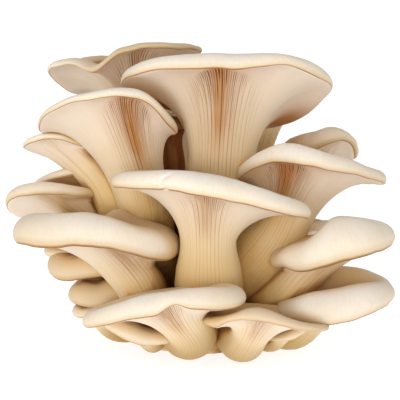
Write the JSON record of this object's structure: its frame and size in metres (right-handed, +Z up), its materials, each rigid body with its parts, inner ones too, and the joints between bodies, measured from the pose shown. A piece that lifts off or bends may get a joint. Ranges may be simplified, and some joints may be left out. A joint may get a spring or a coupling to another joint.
{
  "type": "oyster mushroom cluster",
  "caption": "Cluster of oyster mushrooms of mixed sizes: funnel caps with rolled edges and gills running down thick stems that share one cut butt.",
  "frame": {"origin": "middle of the flat cut under the butt, on which the cluster stands", "axes": "+Z up out of the cut; -Y the side that the biggest caps face; +X to the right as seen from -Y"},
  "size_m": [0.1736, 0.1781, 0.1393],
  "materials": {
    "mushroom": "soft matt skin, paler on the cap's rolled edge and warmer between the gills",
    "butt": "matt, fibrous, cut flat underneath"
  },
  "bodies": {
    "root": {"crown": "mushroom", "front_centre": "mushroom", "left_shoulder": "mushroom", "right_shoulder": "mushroom", "bottom_left": "mushroom", "bottom_right": "mushroom", "left_front": "mushroom", "right_front": "mushroom", "right_lower": "mushroom", "back_crown": "mushroom", "left_tongue": "mushroom", "right_back": "mushroom", "left": "mushroom", "left_back": "mushroom", "lower_left": "mushroom", "lower_left_small": "mushroom", "under_left": "mushroom", "under_right": "mushroom", "lower_left_bud": "mushroom", "left_sliver": "mushroom", "right_inner": "mushroom", "top_back": "mushroom", "inner": "mushroom", "crown_back": "mushroom", "back_left": "mushroom", "back_centre": "mushroom", "back_right": "mushroom", "back_low_left": "mushroom", "back_low_right": "mushroom", "back_side_left": "mushroom", "back_side_right": "mushroom", "back_foot_left": "mushroom", "back_foot_right": "mushroom", "butt": "butt"}
  },
  "joints": []
}
